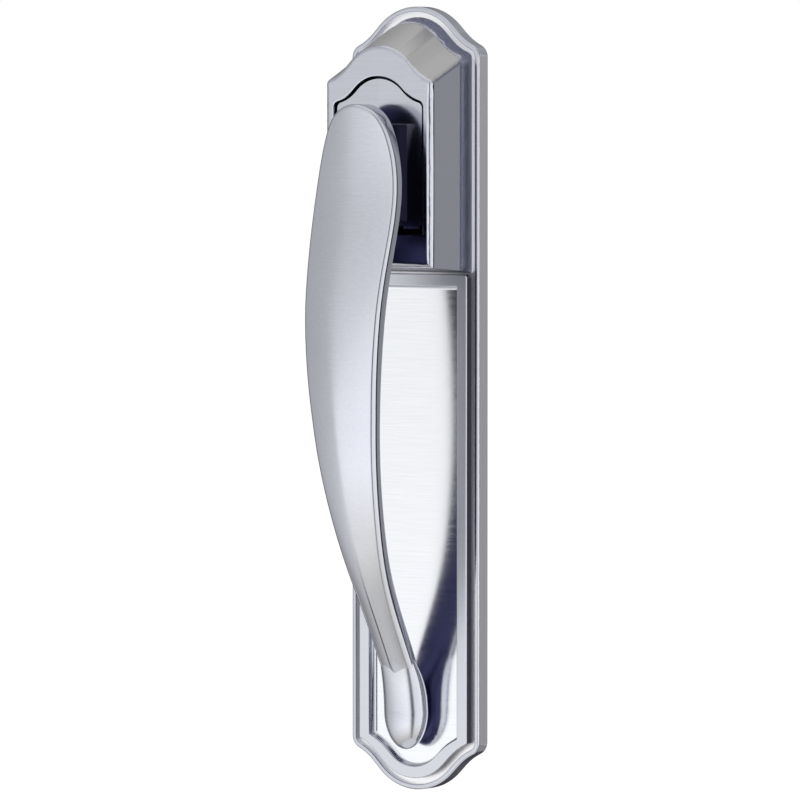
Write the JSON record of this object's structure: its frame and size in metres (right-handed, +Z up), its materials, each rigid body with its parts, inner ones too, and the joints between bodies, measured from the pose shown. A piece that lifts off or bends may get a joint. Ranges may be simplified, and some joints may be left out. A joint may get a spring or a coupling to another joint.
{
  "type": "storm door pull handle",
  "caption": "Tall arched backplate with a boxy housing and a long curved pull handle that pivots in it and pushes a latch plunger through the door.",
  "frame": {"origin": "middle of the backplate's back face, on the door's face", "axes": "+Z up, -Y out towards the user, +X to the right seen from the front"},
  "size_m": [0.04, 0.0585, 0.203],
  "materials": {
    "satin_nickel": "satin nickel plate on zinc die-casting",
    "satin_nickel_handle": "satin nickel plate, finely brushed along the grip",
    "bright_steel": "ground bright",
    "spring_steel": "drawn wire",
    "zinc_plated_steel": "clear zinc plate",
    "nylon": "natural nylon",
    "rubber_pad": "matt black rubber",
    "foam": "closed cell foam"
  },
  "bodies": {
    "base": {"escutcheon": "satin_nickel", "pivot_pin": "bright_steel", "mounting_plate": "zinc_plated_steel", "plate_screws": "bright_steel", "mounting_posts": "zinc_plated_steel", "plunger_guide": "nylon", "gasket": "foam", "return_spring": "spring_steel", "plunger_spring": "spring_steel"},
    "handle": {"pull_handle": "satin_nickel_handle", "left_pivot_bush": "nylon", "right_pivot_bush": "nylon", "stop_bumper": "rubber_pad"},
    "rod": {"plunger": "zinc_plated_steel", "plunger_clip": "spring_steel"}
  },
  "joints": [
    {"name": "handle_pull", "type": "hinge", "parent": "base", "child": "handle", "pos_m": [0, -0.0137, 0.048], "axis": [-1, 0, 0], "range_deg": [0, 12], "stiffness_Nm_per_rad": 0.5, "springref_deg": -11.46, "deforming": ["return_spring"]},
    {"name": "plunger_slide", "type": "slide", "parent": "base", "child": "rod", "axis": [0, 1, 0], "range_m": [0, 0.0031], "deforming": ["plunger_spring"]}
  ],
  "couplings": [
    {"joint": "plunger_slide", "follows": "handle_pull", "m_per_rad": 0.0142}
  ]
}
